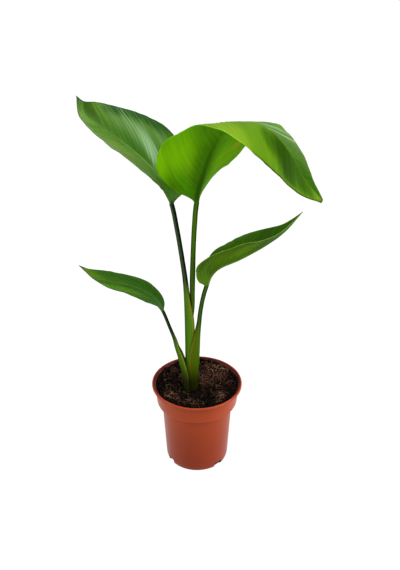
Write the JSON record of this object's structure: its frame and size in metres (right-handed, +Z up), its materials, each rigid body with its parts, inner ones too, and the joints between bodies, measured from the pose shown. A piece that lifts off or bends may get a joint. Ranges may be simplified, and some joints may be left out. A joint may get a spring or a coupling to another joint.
{
  "type": "potted bird of paradise",
  "caption": "Young bird of paradise house plant in a round plastic nursery pot: upright sheathed stalks, a broad pale arching leaf, darker folded leaves and dark fibrous soil.",
  "frame": {"origin": "the middle of the pot's flat underside", "axes": "+Z is up along the pot's axis and the stalks. +X is to the right in the picture's view. +Y is away from the viewer, so the pale leaf arches towards -Y and +X."},
  "size_m": [0.2859, 0.1866, 0.5319],
  "materials": {
    "pot": "satin",
    "soil": "matte",
    "leaf_upper_left": "gloss",
    "leaf_centre": "satin",
    "leaf_right": "satin",
    "leaf_left": "satin"
  },
  "bodies": {
    "root": {"pot": "pot", "soil": "soil", "leaf_upper_left": "leaf_upper_left", "leaf_centre": "leaf_centre", "leaf_right": "leaf_right", "leaf_left": "leaf_left"}
  },
  "joints": []
}
